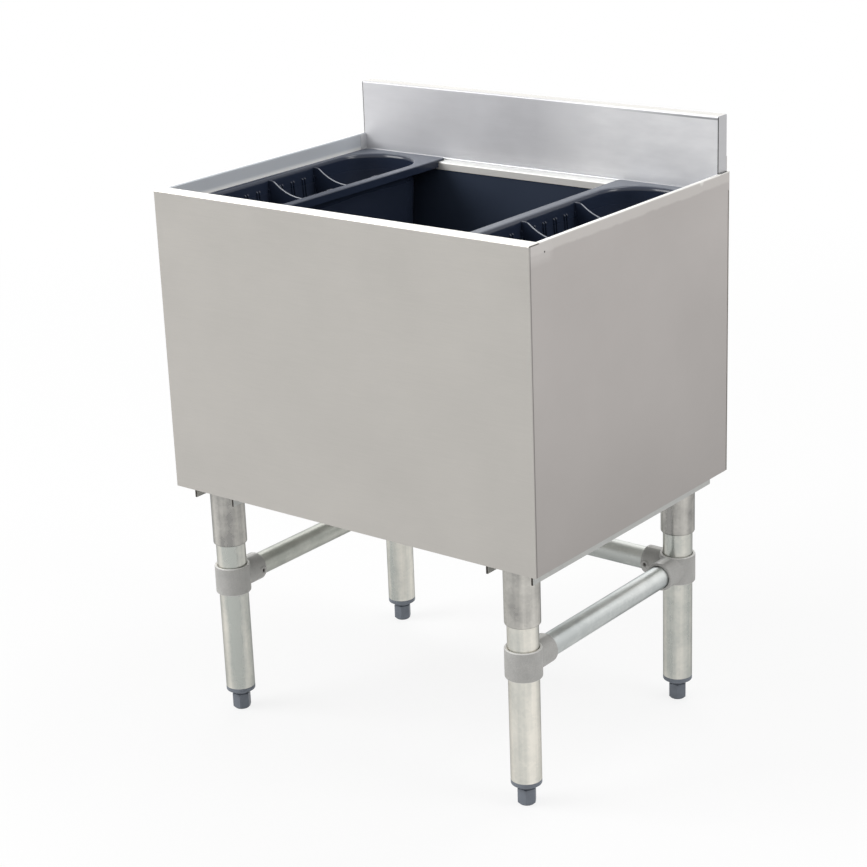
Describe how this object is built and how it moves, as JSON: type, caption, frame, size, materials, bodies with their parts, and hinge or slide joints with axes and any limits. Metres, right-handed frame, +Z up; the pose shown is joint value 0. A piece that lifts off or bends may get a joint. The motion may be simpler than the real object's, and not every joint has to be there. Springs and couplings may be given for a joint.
{
  "type": "underbar ice bin",
  "caption": "Insulated steel ice bin for under a bar, with a backsplash, moulded liner, lift-out bottle troughs and dividers, a drain, and braced tube legs on levelling feet.",
  "frame": {"origin": "on the floor under the centre of the plan", "axes": "+X to the right along the front, +Y to the back, +Z up"},
  "size_m": [0.6096, 0.4572, 0.8382],
  "materials": {
    "stainless_sheet": "fine brushed satin stainless sheet",
    "galvanised_sheet": "dull galvanised sheet",
    "black_liner": "black moulded plastic, satin",
    "black_moulding": "black moulded plastic, satin",
    "foam": "rigid poured foam",
    "drain_plastic": "grey pipe plastic",
    "strainer_steel": "stainless",
    "gasket_rubber": "matt black rubber",
    "galvanised_tube": "bright galvanised tube",
    "sleeve_steel": "satin plated steel",
    "cast_alloy": "matt as cast",
    "zinc_fasteners": "zinc plated",
    "slate_plastic": "slate grey plastic, satin"
  },
  "bodies": {
    "cabinet": {"front_panel": "stainless_sheet", "left_side_panel": "stainless_sheet", "right_side_panel": "stainless_sheet", "back_panel": "stainless_sheet", "top_deck": "stainless_sheet", "backsplash": "stainless_sheet", "backsplash_left_end_cap": "stainless_sheet", "backsplash_right_end_cap": "stainless_sheet", "bottom_pan": "galvanised_sheet", "left_leg_channel": "galvanised_sheet", "right_leg_channel": "galvanised_sheet", "ice_liner": "black_liner", "foam_insulation": "foam", "drain_body": "drain_plastic", "drain_locknut": "drain_plastic", "drain_tailpiece": "drain_plastic", "drain_strainer": "strainer_steel", "drain_gasket": "gasket_rubber", "left_side_rail": "galvanised_tube", "right_side_rail": "galvanised_tube", "rear_rail": "galvanised_tube", "front_left_leg_tube": "galvanised_tube", "front_right_leg_tube": "galvanised_tube", "rear_left_leg_tube": "galvanised_tube", "rear_right_leg_tube": "galvanised_tube", "front_left_leg_socket": "sleeve_steel", "front_right_leg_socket": "sleeve_steel", "rear_left_leg_socket": "sleeve_steel", "rear_right_leg_socket": "sleeve_steel", "front_left_brace_fitting": "cast_alloy", "front_right_brace_fitting": "cast_alloy", "rear_left_brace_fitting": "cast_alloy", "rear_right_brace_fitting": "cast_alloy", "channel_studs": "zinc_fasteners", "channel_nuts": "zinc_fasteners", "fitting_set_screws": "zinc_fasteners", "front_left_foot_insert": "slate_plastic", "front_right_foot_insert": "slate_plastic", "rear_left_foot_insert": "slate_plastic", "rear_right_foot_insert": "slate_plastic"},
    "left_trough": {"left_bottle_trough": "black_moulding"},
    "right_trough": {"right_bottle_trough": "black_moulding"},
    "left_front_divider": {"left_trough_front_divider": "black_moulding"},
    "left_rear_divider": {"left_trough_rear_divider": "black_moulding"},
    "right_front_divider": {"right_trough_front_divider": "black_moulding"},
    "right_rear_divider": {"right_trough_rear_divider": "black_moulding"},
    "front_left_foot": {"front_left_levelling_foot": "slate_plastic"},
    "front_right_foot": {"front_right_levelling_foot": "slate_plastic"},
    "rear_left_foot": {"rear_left_levelling_foot": "slate_plastic"},
    "rear_right_foot": {"rear_right_levelling_foot": "slate_plastic"}
  },
  "joints": [
    {"name": "left_trough_lift", "type": "slide", "parent": "cabinet", "child": "left_trough", "axis": [0, 0, 1], "range_m": [0, 0.18]},
    {"name": "left_front_divider_lift", "type": "slide", "parent": "left_trough", "child": "left_front_divider", "axis": [0, 0, 1], "range_m": [0, 0.13]},
    {"name": "left_rear_divider_lift", "type": "slide", "parent": "left_trough", "child": "left_rear_divider", "axis": [0, 0, 1], "range_m": [0, 0.13]},
    {"name": "right_trough_lift", "type": "slide", "parent": "cabinet", "child": "right_trough", "axis": [0, 0, 1], "range_m": [0, 0.18]},
    {"name": "right_front_divider_lift", "type": "slide", "parent": "right_trough", "child": "right_front_divider", "axis": [0, 0, 1], "range_m": [0, 0.13]},
    {"name": "right_rear_divider_lift", "type": "slide", "parent": "right_trough", "child": "right_rear_divider", "axis": [0, 0, 1], "range_m": [0, 0.13]},
    {"name": "front_left_foot_screw", "type": "slide", "parent": "cabinet", "child": "front_left_foot", "axis": [0, 0, -1], "range_m": [0, 0.025]},
    {"name": "front_right_foot_screw", "type": "slide", "parent": "cabinet", "child": "front_right_foot", "axis": [0, 0, -1], "range_m": [0, 0.025]},
    {"name": "rear_left_foot_screw", "type": "slide", "parent": "cabinet", "child": "rear_left_foot", "axis": [0, 0, -1], "range_m": [0, 0.025]},
    {"name": "rear_right_foot_screw", "type": "slide", "parent": "cabinet", "child": "rear_right_foot", "axis": [0, 0, -1], "range_m": [0, 0.025]}
  ]
}
